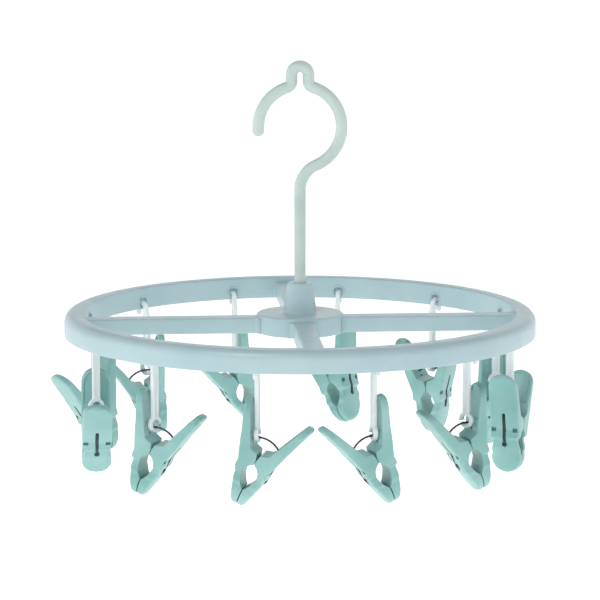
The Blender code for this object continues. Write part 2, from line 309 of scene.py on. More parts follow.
def plate(outline, low, high, edge=0.0, steps=3):
    """An anticlockwise outline (n, 2) as a solid from z = low to high. At angle f of the rounded
    rim a ring is edge (1 - cos f) inside the outline and edge sin f up or down."""
    tangent = np.roll(outline, -1, 0) - np.roll(outline, 1, 0)
    tangent /= np.linalg.norm(tangent, axis=1, keepdims=True)
    outward = np.column_stack([tangent[:, 1], -tangent[:, 0]])
    f = np.radians(np.linspace(0, 90, steps + 1 if edge else 1))
    inset = edge * (1 - np.cos(f))
    lift = edge * np.sin(f)
    insets = np.concatenate([inset[::-1], inset])
    heights = np.concatenate([low + edge - lift[::-1], high - edge + lift])
    flat = outline[None] - outward[None] * insets[:, None, None]
    up = np.broadcast_to(heights[:, None, None], (*flat.shape[:2], 1))
    return skin(np.concatenate([flat, up], axis=2))


def turned(profile, segments):
    """A closed (radius, z) profile carried round Z: x = r cos a, y = r sin a."""
    a = np.linspace(0, math.tau, segments, endpoint=False)[:, None]
    r, z = profile[:, 0][None], profile[:, 1][None]
    rings = np.stack([r * np.cos(a), r * np.sin(a), z + 0 * a], axis=-1)
    return skin(rings, closed=True)


def bar(path, radius, around=24, squash=None):
    """A round section carried along an (n, 2) path of (x, z) points. With t the path's direction
    and n = y cross t, a point is path + r (n cos f + y sin f); squash(f) may scale r."""
    t = np.gradient(path, axis=0)
    t /= np.linalg.norm(t, axis=1, keepdims=True)
    f = np.linspace(0, math.tau, around, endpoint=False)[None]
    r = np.asarray(radius)[:, None] * (squash(f) if squash else 1.0)
    x = path[:, :1] + r * np.cos(f) * t[:, 1:]
    z = path[:, 1:] - r * np.cos(f) * t[:, :1]
    return skin(np.stack([x, r * np.sin(f), z], axis=-1))


def rounded(corners, radii, steps=5):
    """An outline whose corners are rounded by quadratic curves that start one radius before the
    corner and end one radius after it."""
    corners = np.asarray(corners, float)
    radii = np.broadcast_to(np.asarray(radii, float), (len(corners),))[:, None]
    before = np.roll(corners, 1, 0) - corners
    after = np.roll(corners, -1, 0) - corners
    start = corners + radii * before / np.linalg.norm(before, axis=1, keepdims=True)
    end = corners + radii * after / np.linalg.norm(after, axis=1, keepdims=True)
    s = np.linspace(0, 1, steps + 1)[None, :, None]
    curve = (1 - s) ** 2 * start[:, None] + 2 * s * (1 - s) * corners[:, None] + s**2 * end[:, None]
    return curve.reshape(-1, 2)


# %% [markdown]
# ## Moulded polypropylene
# The ring, hook, links and clips are injection-moulded polypropylene. Straight from the mould it
# has a soft satin skin: a fine ripple a millimetre or two across, faint patches a few centimetres
# across where pigment mixed unevenly, and a few duller streaks where pieces rubbed in a box. Its
# IOR is 1.49, and thin walls let a little light through, which subsurface gives. The ripple is
# really a few thousandths of a millimetre deep; it is drawn a little deeper so that it shows.

# %% Polypropylene
PP_IOR = 1.49
CLOUD_MM = 30
RIPPLE_MM = 1.6
SCUFF_MM = 5
LIGHT_REACH_MM = 1.6


def moulded_polypropylene(name, pale, deep, dull, shiny, ripple, glow):
    """Satin plastic between two shades, with roughness from shiny to dull."""
    made = bpy.data.materials.new(name)
    made.use_nodes = True
    tree = made.node_tree
    shader = tree.nodes["Principled BSDF"]
    shader.inputs["IOR"].default_value = PP_IOR
    shader.inputs["Subsurface Weight"].default_value = glow
    shader.inputs["Subsurface Radius"].default_value = (0.8, 1.0, 0.95)
    shader.inputs["Subsurface Scale"].default_value = LIGHT_REACH_MM * MM
    place = node(tree, "TexCoord").outputs["Object"]
    cloud = node(tree, "TexNoise", {"Vector": place, "Scale": per_metre(CLOUD_MM), "Detail": 3.0})
    shade = node(tree, "ValToRGB", {"Fac": cloud.outputs["Fac"]})
    shade.color_ramp.elements[0].position = 0.32
    shade.color_ramp.elements[0].color = linear(deep)
    shade.color_ramp.elements[1].position = 0.68
    shade.color_ramp.elements[1].color = linear(pale)
    tree.links.new(shade.outputs["Color"], shader.inputs["Base Color"])
    long_way = node(tree, "Mapping", {"Vector": place, "Scale": (1.0, 1.0, 0.22)})
    scuff = node(
        tree,
        "TexNoise",
        {"Vector": long_way.outputs[0], "Scale": per_metre(SCUFF_MM), "Detail": 6.0},
    )
    rough = node(
        tree,
        "MapRange",
        {"Value": scuff.outputs["Fac"], "From Min": 0.35, "From Max": 0.7, 3: shiny, 4: dull},
    )
    tree.links.new(rough.outputs["Result"], shader.inputs["Roughness"])
    skin_noise = node(
        tree, "TexNoise", {"Vector": place, "Scale": per_metre(RIPPLE_MM), "Detail": 2.0}
    )
    bump = node(
        tree,
        "Bump",
        {"Height": skin_noise.outputs["Fac"], "Strength": ripple, "Distance": 0.06 * MM},
    )
    tree.links.new(bump.outputs["Normal"], shader.inputs["Normal"])
    return made


RING_PLASTIC = moulded_polypropylene(
    "ice blue moulded polypropylene", "#B4CDD2", "#ABC6CC", 0.42, 0.28, 0.35, 0.10
)
HOOK_PLASTIC = moulded_polypropylene(
    "sage moulded polypropylene", "#CAD9D5", "#B6CAC5", 0.50, 0.33, 0.35, 0.10
)
CLIP_PLASTIC = moulded_polypropylene(
    "mint moulded polypropylene", "#9AC6C2", "#82B5B0", 0.46, 0.30, 0.4, 0.12
)
LINK_PLASTIC = moulded_polypropylene(
    "white moulded polypropylene", "#F1F5F6", "#E6EDEF", 0.52, 0.36, 0.3, 0.15
)
print("plastics", [m.name for m in bpy.data.materials if "polypropylene" in m.name])

# %% [markdown]
# ## Spring wire
# Each clip is shut by a bent length of patented steel wire, 1.2 mm thick. Drawing it through a
# die leaves fine lines along it, and the phosphate skin makes it darker than bare steel. The
# lines are 0.1 mm apart on the real wire and 0.4 mm here, so that they show.

# %% Steel wire
DRAW_LINE_MM = 0.4


def drawn_spring_steel():
    made = bpy.data.materials.new("drawn spring steel")
    made.use_nodes = True
    tree = made.node_tree
    shader = tree.nodes["Principled BSDF"]
    shader.inputs["Metallic"].default_value = 1.0
    along = node(tree, "Attribute", attribute_name="wire_way").outputs["Vector"]
    lines = node(tree, "TexNoise", {"Vector": along, "Scale": per_metre(DRAW_LINE_MM)})
    shade = node(tree, "ValToRGB", {"Fac": lines.outputs["Fac"]})
    shade.color_ramp.elements[0].position = 0.3
    shade.color_ramp.elements[0].color = linear("#35383B")
    shade.color_ramp.elements[1].position = 0.7
    shade.color_ramp.elements[1].color = linear("#5E6266")
    tree.links.new(shade.outputs["Color"], shader.inputs["Base Color"])
    rough = node(tree, "MapRange", {"Value": lines.outputs["Fac"], 3: 0.26, 4: 0.48})
    tree.links.new(rough.outputs["Result"], shader.inputs["Roughness"])
    bump = node(
        tree, "Bump", {"Height": lines.outputs["Fac"], "Strength": 0.4, "Distance": 0.03 * MM}
    )
    tree.links.new(bump.outputs["Normal"], shader.inputs["Normal"])
    return made


WIRE_STEEL = drawn_spring_steel()

# %% [markdown]
# ## Floor
# Matt white paper, with a faint tooth so that it isn't a flat colour. It is lit from behind like a
# light table, so it stays white under the hanger and throws no hard shadow on it.


# %% Floor
FLOOR_GLOW = 0.7


def white_paper():
    made = bpy.data.materials.new("white studio paper")
    made.use_nodes = True
    tree = made.node_tree
    shader = tree.nodes["Principled BSDF"]
    shader.inputs["Roughness"].default_value = 0.9
    shader.inputs["Emission Color"].default_value = (1, 1, 1, 1)
    shader.inputs["Emission Strength"].default_value = FLOOR_GLOW
    place = node(tree, "TexCoord").outputs["Object"]
    tooth = node(tree, "TexNoise", {"Vector": place, "Scale": per_metre(40)})
    shade = node(tree, "ValToRGB", {"Fac": tooth.outputs["Fac"]})
    shade.color_ramp.elements[0].color = linear("#F6F6F6")
    shade.color_ramp.elements[1].color = linear("#FCFCFC")
    tree.links.new(shade.outputs["Color"], shader.inputs["Base Color"])
    return made


def add_floor():
    half = FLOOR_HALF
    mesh = bpy.data.meshes.new("floor")
    corners = [(-half, -half), (half, -half), (half, half), (-half, half)]
    mesh.from_pydata([(x, y, FLOOR_Z) for x, y in corners], [], [(0, 1, 2, 3)])
    made = shown("floor", mesh, white_paper())
    return made


print(add_floor().name)

# %% [markdown]
# ## Hook
# One round bar, 7 mm thick. It runs from a rounded tip over the rail, breaks upwards into a small
# loop for a peg or a nail, comes round to the stem's line through an S-bend, and goes straight
# down through the hub to a wider head that carries the load. The mould opened towards the front
# and the back, so a fine parting line runs along the bar in the hook's own plane. A path of arcs
# with a round section carried along it gives all of that; the parting line is a small bulge of
# the section at 0 and 180 degrees.

# %% Hook
BAR_RADIUS = 3.6
CROWN_RADIUS = 26.4
CROWN_Z = BAR_RADIUS - CROWN_RADIUS
TIP_DROP = 2.2
LOOP_HALF = 5.4
LOOP_LEG_TOP = 10.2
LOOP_FILLET = 4.0
NECK_RADIUS = 17.0
STEM_RADIUS = 3.45
HEAD_RADIUS = 5.0
HEAD_TOP_Z = -148.0
HEAD_BOTTOM_Z = -152.2
PARTING_RISE = 0.035  # height of the parting line as a share of the bar's radius
PARTING_HALF = 0.10  # its half width, in radians round the bar


def hook_middle():
    """The bar's middle line as arcs that meet in line with each other, tip first."""
    crown = (0.0, CROWN_Z)
    reach = CROWN_RADIUS + LOOP_FILLET
    fillet_x = LOOP_HALF + LOOP_FILLET
    fillet_z = CROWN_Z + math.sqrt(reach**2 - fillet_x**2)
    lean = math.degrees(math.asin(fillet_x / reach))
    neck_z = CROWN_Z - math.sqrt((CROWN_RADIUS + NECK_RADIUS) ** 2 - NECK_RADIUS**2)
    neck = math.degrees(math.atan2(neck_z - CROWN_Z, NECK_RADIUS))
    tip = np.column_stack([np.full(12, -CROWN_RADIUS), CROWN_Z - TIP_DROP * np.linspace(1, 0, 12)])
    tip[:, 1] -= BAR_RADIUS * np.cos(np.linspace(0, math.pi / 2, 12))
    stem = np.column_stack([np.zeros(60), np.linspace(neck_z, HEAD_TOP_Z + 0.4, 60)])
    return np.vstack(
        [
            tip[:-1],
            arc(crown, CROWN_RADIUS, 180, 90 + lean, 40)[:-1],
            arc((-fillet_x, fillet_z), LOOP_FILLET, lean - 90, 0, 14)[:-1],
            arc((0, LOOP_LEG_TOP), LOOP_HALF, 180, 0, 30),
            arc((fillet_x, fillet_z), LOOP_FILLET, 180, 270 - lean, 14)[:-1],
            arc(crown, CROWN_RADIUS, 90 - lean, neck, 70)[:-1],
            arc((NECK_RADIUS, neck_z), NECK_RADIUS, 180 + neck, 180, 24)[:-1],
            stem,
        ]
    )


def hook_radius(path):
    """The bar's radius: a quarter circle at the tip, a slight taper down the stem."""
    run = np.concatenate([[0], np.cumsum(np.linalg.norm(np.diff(path, axis=0), axis=1))])
    tip = np.sqrt(1 - np.clip(1 - (run + 0.02) / BAR_RADIUS, 0, 1) ** 2)
    stem = np.clip((CROWN_Z - CROWN_RADIUS - path[:, 1]) / 60, 0, 1)
    return tip * (BAR_RADIUS + (STEM_RADIUS - BAR_RADIUS) * stem)


def parting_line(f):
    return 1 + PARTING_RISE * np.exp(-((np.sin(f) / PARTING_HALF) ** 4))


def make_hook():
    path = hook_middle()
    head_z = np.array([HEAD_TOP_Z + 0.05, HEAD_TOP_Z, HEAD_TOP_Z - 0.5, HEAD_TOP_Z - 2.6])
    head_r = np.array([STEM_RADIUS, HEAD_RADIUS - 0.4, HEAD_RADIUS, HEAD_RADIUS])
    end_z = np.array([HEAD_BOTTOM_Z + 0.5, HEAD_BOTTOM_Z])
    end_r = np.array([0.8 * HEAD_RADIUS, 0.7 * HEAD_RADIUS])
    z = np.concatenate([head_z, end_z])
    path = np.vstack([path, np.column_stack([0 * z, z])])
    radius = np.concatenate([hook_radius(path[: -len(z)]), head_r, end_r])
    mesh = mesh_of("hook_moulding", bar(path, radius, 48, parting_line), 50)
    made = shown("hook_moulding", mesh, HOOK_PLASTIC)
    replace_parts(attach(made, "hook"), "hook")
    return made


print(make_hook().name, "tip to head")

# %% [markdown]
# ## Ring
# The ring is a hollow rim, open below: a tall inner wall, a broad rounded shoulder outside and
# walls two millimetres thick, so that it cools evenly in the mould. One closed profile carried
# round the axis makes it. Twelve slots go through the inner wall, each under a raised arched lip
# that stiffens the wall, and thin ribs cross the hollow below, where they only show from
# underneath.

# %% Ring profile
RING_RADIUS = 150.0
RING_INNER = 138.0
RING_TOP_Z = -139.9
RING_BOTTOM_Z = -154.1
RING_WALL = 2.0
RING_SHOULDER = 6.0
INNER_EDGE = 1.6
FOOT_EDGE = 0.5
RING_SEGMENTS = 480


def ring_profile():
    """(radius, z) once round the wall, anticlockwise: outside, shoulder, top, inside, hollow."""
    shoulder = (RING_RADIUS - RING_SHOULDER, RING_TOP_Z - RING_SHOULDER)
    inner = (RING_INNER + INNER_EDGE, RING_TOP_Z - INNER_EDGE)
    low = RING_BOTTOM_Z + FOOT_EDGE
    ceiling = RING_TOP_Z - 1.1 * RING_WALL
    wall_in = RING_INNER + RING_WALL
    wall_out = RING_RADIUS - RING_WALL
    hollow = (wall_out - 3.5, ceiling - 3.5)
    return np.vstack(
        [
            arc((RING_RADIUS - FOOT_EDGE, low), FOOT_EDGE, -90, 0, 3),
            arc(shoulder, RING_SHOULDER, 0, 90, 14),
            arc(inner, INNER_EDGE, 90, 180, 6),
            arc((RING_INNER + FOOT_EDGE, low), FOOT_EDGE, 180, 270, 3),
            arc((wall_in - FOOT_EDGE, low), FOOT_EDGE, -90, 0, 3),
            arc((wall_in + 1, ceiling - 1), 1, 180, 90, 3),
            arc(hollow, 3.5, 90, 0, 6),
            arc((wall_out + FOOT_EDGE, low), FOOT_EDGE, 180, 270, 3),
        ]
    )


print("ring profile", ring_profile().shape)

# %% Slots, lips and ribs
SLOT_WIDTH = 6.0
SLOT_TOP_Z = -146.8
SLOT_BOTTOM_Z = -151.8
LIP_RADIUS = 0.55
RIB_COUNT = 24
RIB_HALF = 0.6
RIB_BITE = 0.4  # how far a rib runs into the wall that it meets


def at_station(shape, outwards):
    """A shape drawn as (across, up, outwards) put on the ring at a station's direction."""
    along = np.array([-outwards[1], outwards[0], 0.0])
    return placed(shape, (0, 0, 0), [along, (0.0, 0.0, 1.0), outwards])


def slot_cutter():
    half = SLOT_WIDTH / 2
    low, high = SLOT_BOTTOM_Z, SLOT_TOP_Z
    corners = [(-half, low), (half, low), (half, high), (-half, high)]
    return plate(rounded(corners, [0.5, 0.5, 1.9, 1.9]), RING_INNER - 2, RING_INNER + 4)


def slot_lip():
    """A half-round rib up one side of the slot, over its top and down the other side."""
    half = SLOT_WIDTH / 2 + 0.75
    spring_z = SLOT_TOP_Z - 1.6
    over = arc((0, 0), 1, 180, 0, 24) * [half, 2.6] + [0, spring_z]
    foot_z = SLOT_BOTTOM_Z + 0.8
    share = np.linspace(0, 1, 6)[:-1, None]
    rise = np.column_stack([-half + 0 * share, foot_z + share * (spring_z - foot_z)])
    path = np.vstack([rise, over, rise[::-1] * [-1, 1]])
    run = np.linspace(-1, 1, len(path))
    points, faces = bar(path, LIP_RADIUS * np.sqrt(1.0001 - run**8), 12)
    x, depth, z = points.T
    wall = np.sqrt(RING_INNER**2 - x**2)
    return np.column_stack([x, z, wall + depth]), faces


def ring_rib(angle):
    """A thin plate across the ring's hollow, its foot a little above the ring's foot."""
    inside, outside = RING_INNER + RING_WALL - RIB_BITE, RING_RADIUS - RING_WALL + RIB_BITE
    low, high = RING_BOTTOM_Z + 3.2, RING_TOP_Z - 2.0
    outline = np.array([(inside, low), (outside, low), (outside, high - 5), (inside, high)])
    outwards = np.array([math.cos(angle), math.sin(angle), 0.0])
    across = np.array([-outwards[1], outwards[0], 0.0])
    return placed(plate(outline, -RIB_HALF, RIB_HALF), (0, 0, 0), [outwards, (0.0, 0.0, 1.0), -across])


def make_ring():
    outwards = [link_place(station)[1][0] for station in STATIONS]
    mesh = mesh_of("ring_rim", turned(ring_profile(), RING_SEGMENTS))
    mesh = carved(mesh, joined([at_station(slot_cutter(), way) for way in outwards]))
    made = shown("ring_rim", mesh, RING_PLASTIC)
    lips = joined([at_station(slot_lip(), way) for way in outwards])
    lip = shown("slot_lips", mesh_of("slot_lips", lips), RING_PLASTIC)
    ribs = joined([ring_rib(math.tau * (i + 0.5) / RIB_COUNT) for i in range(RIB_COUNT)])
    rib = shown("ring_ribs", mesh_of("ring_ribs", ribs), RING_PLASTIC)
    for piece in (made, lip, rib):
        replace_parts(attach(piece, "frame"), "frame")
    return made


print("ring", len(make_ring().data.polygons), "faces")

# %% [markdown]
# ## Spokes
# Four channel-shaped arms join the ring to the hub. Each is an upturned U, open below like the
# ring, and it spreads in a quarter circle where it meets the walls at both ends, because a mould
# fillet there keeps the arm from cracking. The section is carried outwards along the arm, and
# the fillet widens it near the ends.

# %% Spokes
SPOKE_WIDTH = 13.0
SPOKE_TOP_Z = -143.7
SPOKE_BOTTOM_Z = -153.6
SPOKE_EDGE = 1.2
SPOKE_FILLET = 3.2
HUB_RADIUS = 27.5


def spoke_section():
    """(y, z) once round the arm's wall for a half width of 0; the sign of y says its side."""
    top, low, wall = SPOKE_TOP_Z, SPOKE_BOTTOM_Z, RING_WALL
    outer = np.vstack(
        [
            arc((-FOOT_EDGE, low + FOOT_EDGE), FOOT_EDGE, -90, 0, 3),
            arc((-SPOKE_EDGE, top - SPOKE_EDGE), SPOKE_EDGE, 0, 90, 5),
        ]
    )
    inner = np.array([(-wall, top - wall), (-wall, low + 0.1), (-wall + 0.1, low)])
    return outer, inner


def fillet_reach(x, wall_x, sign):
    """How far a quarter-circle fillet stands out at x, next to a wall at wall_x."""
    inwards = np.clip(SPOKE_FILLET - sign * (wall_x - x), 0, SPOKE_FILLET)
    return SPOKE_FILLET - np.sqrt(SPOKE_FILLET**2 - inwards**2)


def spoke_shape():
    start, end = HUB_RADIUS - 1.6, RING_INNER + 1.4
    hub_edge = math.sqrt(HUB_RADIUS**2 - (SPOKE_WIDTH / 2) ** 2)
    near_hub = hub_edge + SPOKE_FILLET * (1 - np.cos(np.linspace(0, math.pi / 2, 9)))
    near_ring = RING_INNER - SPOKE_FILLET * (1 - np.cos(np.linspace(math.pi / 2, 0, 9)))
    x = np.concatenate([[start], near_hub, np.linspace(near_hub[-1], near_ring[0], 40)[1:-1]])
    x = np.concatenate([x, near_ring, [end]])
    flare = fillet_reach(x, RING_INNER, 1) + fillet_reach(x, hub_edge, -1)
    half = SPOKE_WIDTH / 2 + flare
    outer, inner = spoke_section()
    loop_y = np.concatenate([outer[:, 0], -outer[::-1, 0], -inner[::-1, 0], inner[:, 0]])
    loop_z = np.concatenate([outer[:, 1], outer[::-1, 1], inner[::-1, 1], inner[:, 1]])
    far_side = -np.ones(len(outer) + len(inner))
    side = np.concatenate([np.ones(len(outer)), far_side, np.ones(len(inner))])
    y = loop_y[None] + side[None] * half[:, None]
    rings = np.stack([np.broadcast_to(x[:, None], y.shape), y, np.broadcast_to(loop_z, y.shape)], -1)
    return skin(rings)


print("one spoke", spoke_shape()[0].shape)

# %% [markdown]
# ## Hub
# The hub is a shallow drum with a tall boss in the middle that the hook's stem turns in. The
# boss tapers so that it leaves the mould, and a soft fillet joins it to the drum. Below, the
# drum is hollow, with a tube round the stem's head and eight ribs from the tube to the wall. The
# profile is carried round the axis, as the ring's is.

# %% Hub and spokes in place
HUB_TOP_Z = -141.4
HUB_WALL = 2.2
HUB_EDGE = 1.5
BOSS_BASE_RADIUS = 10.5
BOSS_TOP_RADIUS = 8.0
BOSS_TOP_Z = -122.0
BOSS_EDGE = 1.3
BOSS_FILLET = 1.8
STEM_HOLE_RADIUS = STEM_RADIUS + 0.4
HEAD_HOLE_RADIUS = HEAD_RADIUS + 0.6
HEAD_SEAT_Z = HEAD_TOP_Z + 0.3
HUB_RIBS = 8


def hub_profile():
    """(radius, z): drum wall, edge, fillet, boss, bore with the head's seat, and the hollow."""
    low = SPOKE_BOTTOM_Z
    tube = HEAD_HOLE_RADIUS + HUB_WALL
    inside = HUB_RADIUS - HUB_WALL
    ceiling = HUB_TOP_Z - HUB_WALL
    fillet = (BOSS_BASE_RADIUS + BOSS_FILLET, HUB_TOP_Z + BOSS_FILLET)
    return np.vstack(
        [
            arc((HUB_RADIUS - FOOT_EDGE, low + FOOT_EDGE), FOOT_EDGE, -90, 0, 3),
            arc((HUB_RADIUS - HUB_EDGE, HUB_TOP_Z - HUB_EDGE), HUB_EDGE, 0, 90, 6),
            arc(fillet, BOSS_FILLET, 270, 180, 6),
            arc((BOSS_TOP_RADIUS - BOSS_EDGE, BOSS_TOP_Z - BOSS_EDGE), BOSS_EDGE, 0, 90, 6),
            [(STEM_HOLE_RADIUS + 0.5, BOSS_TOP_Z), (STEM_HOLE_RADIUS, BOSS_TOP_Z - 0.5)],
            [(STEM_HOLE_RADIUS, HEAD_SEAT_Z), (HEAD_HOLE_RADIUS, HEAD_SEAT_Z)],
            [(HEAD_HOLE_RADIUS, low), (tube, low), (tube, ceiling), (inside, ceiling), (inside, low)],
        ]
    )


def hub_rib(angle):
    inside = HEAD_HOLE_RADIUS + HUB_WALL - RIB_BITE
    outside = HUB_RADIUS - HUB_WALL + RIB_BITE
    low, high = SPOKE_BOTTOM_Z + 2.0, HUB_TOP_Z - HUB_WALL + RIB_BITE
    outline = np.array([(inside, low), (outside, low), (outside, high), (inside, high)])
    outwards = np.array([math.cos(angle), math.sin(angle), 0.0])
    across = np.array([-outwards[1], outwards[0], 0.0])
    return placed(plate(outline, -RIB_HALF, RIB_HALF), (0, 0, 0), [outwards, (0.0, 0.0, 1.0), -across])


def make_hub_and_spokes():
    hub = shown("hub_drum", mesh_of("hub_drum", turned(hub_profile(), 160)), RING_PLASTIC)
    ribs = joined([hub_rib(math.tau * (i + 0.5) / HUB_RIBS) for i in range(HUB_RIBS)])
    pieces = [hub, shown("hub_ribs", mesh_of("hub_ribs", ribs), RING_PLASTIC)]
    for number in range(4):
        a = number * math.pi / 2
        axes = [(math.cos(a), math.sin(a), 0), (-math.sin(a), math.cos(a), 0), (0, 0, 1)]
        mesh = mesh_of(f"spoke_{number + 1}", placed(spoke_shape(), (0, 0, 0), axes))
        pieces.append(shown(mesh.name, mesh, RING_PLASTIC))
    for piece in pieces:
        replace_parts(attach(piece, "frame"), "frame")
    return pieces


print([piece.name for piece in make_hub_and_spokes()])

# %% [markdown]
# ## Links
# A link is a flat S-shaped moulding, 2.8 mm thick. Its hook hangs over the bar of wall under a
# slot, its shank hangs straight down on the hub side, and its open eye holds the clip's wire. The
# shank is sunk a little on both flat sides, which leaves two rails, so it is as stiff as a
# thicker bar with less plastic. An outline of arcs with a rounded rim gives the S, and two
# shallow stadium-shaped cutters sink the shank.

# %% Link
LINK_HALF = 1.4
LINK_HOOK_INNER = 1.85
LINK_HOOK_OUTER = 4.25
LINK_TIP = 4.0
SHANK_FACE = -1.3
SHANK_WIDTH = 4.8
EYE_X = SHANK_FACE - SHANK_WIDTH / 2
EYE_DROP = 40.55
EYE_INNER = 2.8
EYE_OUTER = 5.0
EYE_GAP = (190, 222)
LINK_RIM = 0.45
SINK_DEPTH = 0.6
SINK_HALF = 1.25


def link_outline():
    """(x, z) anticlockwise: from the hook's tip over its outside, down the shank's far face,
    round the open eye and back up the near face to the inside of the hook."""
    meet = 180 + math.degrees(math.acos(-SHANK_FACE / LINK_HOOK_INNER))
    middle = (LINK_HOOK_INNER + LINK_HOOK_OUTER) / 2
    eye = (EYE_X, -EYE_DROP)
    join = math.degrees(math.acos(SHANK_WIDTH / 2 / EYE_OUTER))
    end = (EYE_OUTER - EYE_INNER) / 2
    high_end, low_end = arc(eye, (EYE_INNER + EYE_OUTER) / 2, *EYE_GAP, 1)
    far_face = SHANK_FACE - SHANK_WIDTH
    clockwise = [
        arc((0, 0), LINK_HOOK_INNER, 0, meet, 20),
        arc(eye, EYE_OUTER, join, EYE_GAP[1] - 360, 40),
        arc(low_end, end, EYE_GAP[1] - 360, EYE_GAP[1] - 540, 8)[1:-1],
        arc(eye, EYE_INNER, EYE_GAP[1], EYE_GAP[0] + 360, 40),
        arc(high_end, end, EYE_GAP[0], EYE_GAP[0] - 180, 8)[1:-1],
        arc(eye, EYE_OUTER, EYE_GAP[0], 180 - join, 10),
        [(far_face, -8.0), (far_face * 0.95, -5.0), (far_face * 0.86, -2.5)],
        arc((0, 0), LINK_HOOK_OUTER, 178, 0, 20),
        arc((middle, -LINK_TIP), LINK_HOOK_OUTER - middle, 0, -180, 10),
    ]
    return np.vstack(clockwise)[::-1]


def shank_sinks():
    """One stadium for each flat side, from just outside the link down to the sink's floor."""
    top, bottom = (EYE_X, -9.0), (EYE_X, -EYE_DROP + EYE_OUTER + 2.4)
    outline = np.vstack([arc(top, SINK_HALF, 0, 180, 12), arc(bottom, SINK_HALF, 180, 360, 12)])
    floor, outside = LINK_HALF - SINK_DEPTH, LINK_HALF + 1
    return joined([plate(outline, floor, outside, 0.25), plate(outline, -outside, -floor, 0.25)])


def make_link_mesh():
    mesh = mesh_of("link", plate(link_outline(), -LINK_HALF, LINK_HALF, LINK_RIM, 4))
    return carved(mesh, shank_sinks())


LINK_MESH = make_link_mesh()
print("link", len(LINK_MESH.polygons), "faces")

# %% [markdown]
# ## Clip jaws
# A clip is two copies of one moulding, back to back. From the tip up each has a round jaw with
# fine teeth inside, a narrow waist with an open window between the halves, a block with a slot
# that the wire lies in, and a handle: a rounded paddle, crowned outside and sunk inside so that a
# rim runs round it. Cutting this from a box would leave hard edges everywhere, so the jaw is a
# stack of slices instead. At each height u a slice has a half width, an outer and an inner height
# v, and soft corners; the slices change smoothly upwards. The slot, the keyhole where the wire's
# end goes in, and the two side pockets are then carved out.

# %% Curves that shape a jaw
DISC_U = -22.3
DISC_RADIUS = 9.2
PADDLE_U = 23.4
PADDLE_RADIUS = 9.1
PADDLE_SQUASH = 0.92
HANDLE_TILT = 25.5
HANDLE_END = (20.5, 29.8)
HANDLE_TIP_RADIUS = 2.3
JAW_GAP = 0.16
TOOTH_PITCH = 1.5
TOOTH_DEPTH = 0.3
TOOTHED = (-30.4, -20.8)

HALF_WIDTH = [(-16.5, 9.0), (-13, 7.9), (-10.6, 7.6), (-9.6, 7.9), (-9.1, 9.0), (-4, 9.3)]
HALF_WIDTH += [(8, 9.3), (15, 9.25), (23.4, 9.1)]
OUTER = [(-31.5, 2.4), (-31.1, 3.5), (-29.8, 4.6), (-15.2, 9.4), (-10.2, 9.9), (-9.2, 10.9)]
OUTER += [(-4, 10.9), (9.3, 15.4)]
INNER = [(-31.5, 0.9), (-30.6, JAW_GAP), (-20.2, JAW_GAP), (-19, 1.3), (-16.5, 3.0), (-13, 4.4)]
INNER += [(-9.8, 4.8), (-7, 4.2), (-4.4, 2.2), (-3.2, JAW_GAP), (0, JAW_GAP), (3.9, 1.24)]
INNER += [(4.4, 4.2), (5.8, 6.6), (8.4, 7.74)]


def soft(u, knots, width):
    """The line through (u, value) knots, averaged over a bell curve of that width round u."""
    knot_u, value = np.array(knots).T
    step = np.linspace(-2.5, 2.5, 11)
    weight = np.exp(-(step**2) / 2)
    return np.interp(u[:, None] + width * step, knot_u, value) @ (weight / weight.sum())


def step_up(x):
    """0 below 0, 1 above 1, and 3x^2 - 2x^3 between."""
    x = np.clip(x, 0, 1)
    return x * x * (3 - 2 * x)


def jaw_heights():
    """Values of u: close together where the round ends close, and even in between."""
    disc = DISC_U - DISC_RADIUS * np.cos(np.radians(np.linspace(4, 78, 15)))
    paddle = PADDLE_U + PADDLE_RADIUS * PADDLE_SQUASH * np.sin(np.radians(np.linspace(8, 86, 16)))
    pitch = TOOTH_PITCH / 4
    count = round((paddle[0] - disc[-1]) / pitch)
    return np.concatenate([disc, np.linspace(disc[-1], paddle[0], count + 1)[1:-1], paddle])


def jaw_curves(u):
    """Half width, outer height and inner height at each u."""
    half = soft(u, HALF_WIDTH, 0.3)
    low = np.sqrt(np.clip(DISC_RADIUS**2 - (u - DISC_U) ** 2, 0.01, None))
    blend = step_up((u + 20.5) / 4)
    half = np.where(u < DISC_U, low, np.where(u < -16.5, low * (1 - blend) + half * blend, half))
    end = np.clip(1 - ((u - PADDLE_U) / (PADDLE_RADIUS * PADDLE_SQUASH)) ** 2, 0.001, 1)
    half = np.where(u > PADDLE_U, PADDLE_RADIUS * np.sqrt(end), half)
    tip_out = arc(HANDLE_END, HANDLE_TIP_RADIUS, -HANDLE_TILT, 60, 6)[:, ::-1]
    tip_in = arc(HANDLE_END, HANDLE_TIP_RADIUS, 180 - HANDLE_TILT, 120, 4)[:, ::-1]
    outer = soft(u, OUTER + tip_out.tolist(), 0.3)
    inner = soft(u, INNER + tip_in.tolist(), 0.25)
    tooth = np.abs((u / TOOTH_PITCH) % 1 - 0.5) * 2 * TOOTH_DEPTH
    inner += np.where((u > TOOTHED[0]) & (u < TOOTHED[1]), tooth, 0)
    return half, outer, inner


print("jaw slices", len(jaw_heights()))

# %% Slices of a jaw
OUTER_CORNER = 1.5
INNER_CORNER = 0.5
PADDLE_CROWN = 0.9
BLOCK_CROWN = 0.3
SINK_RIM = 1.5  # width of the rim round the handle's sunk inner face
HANDLE_SINK = 1.3
HANDLE_SUNK = (11.5, 30.4)


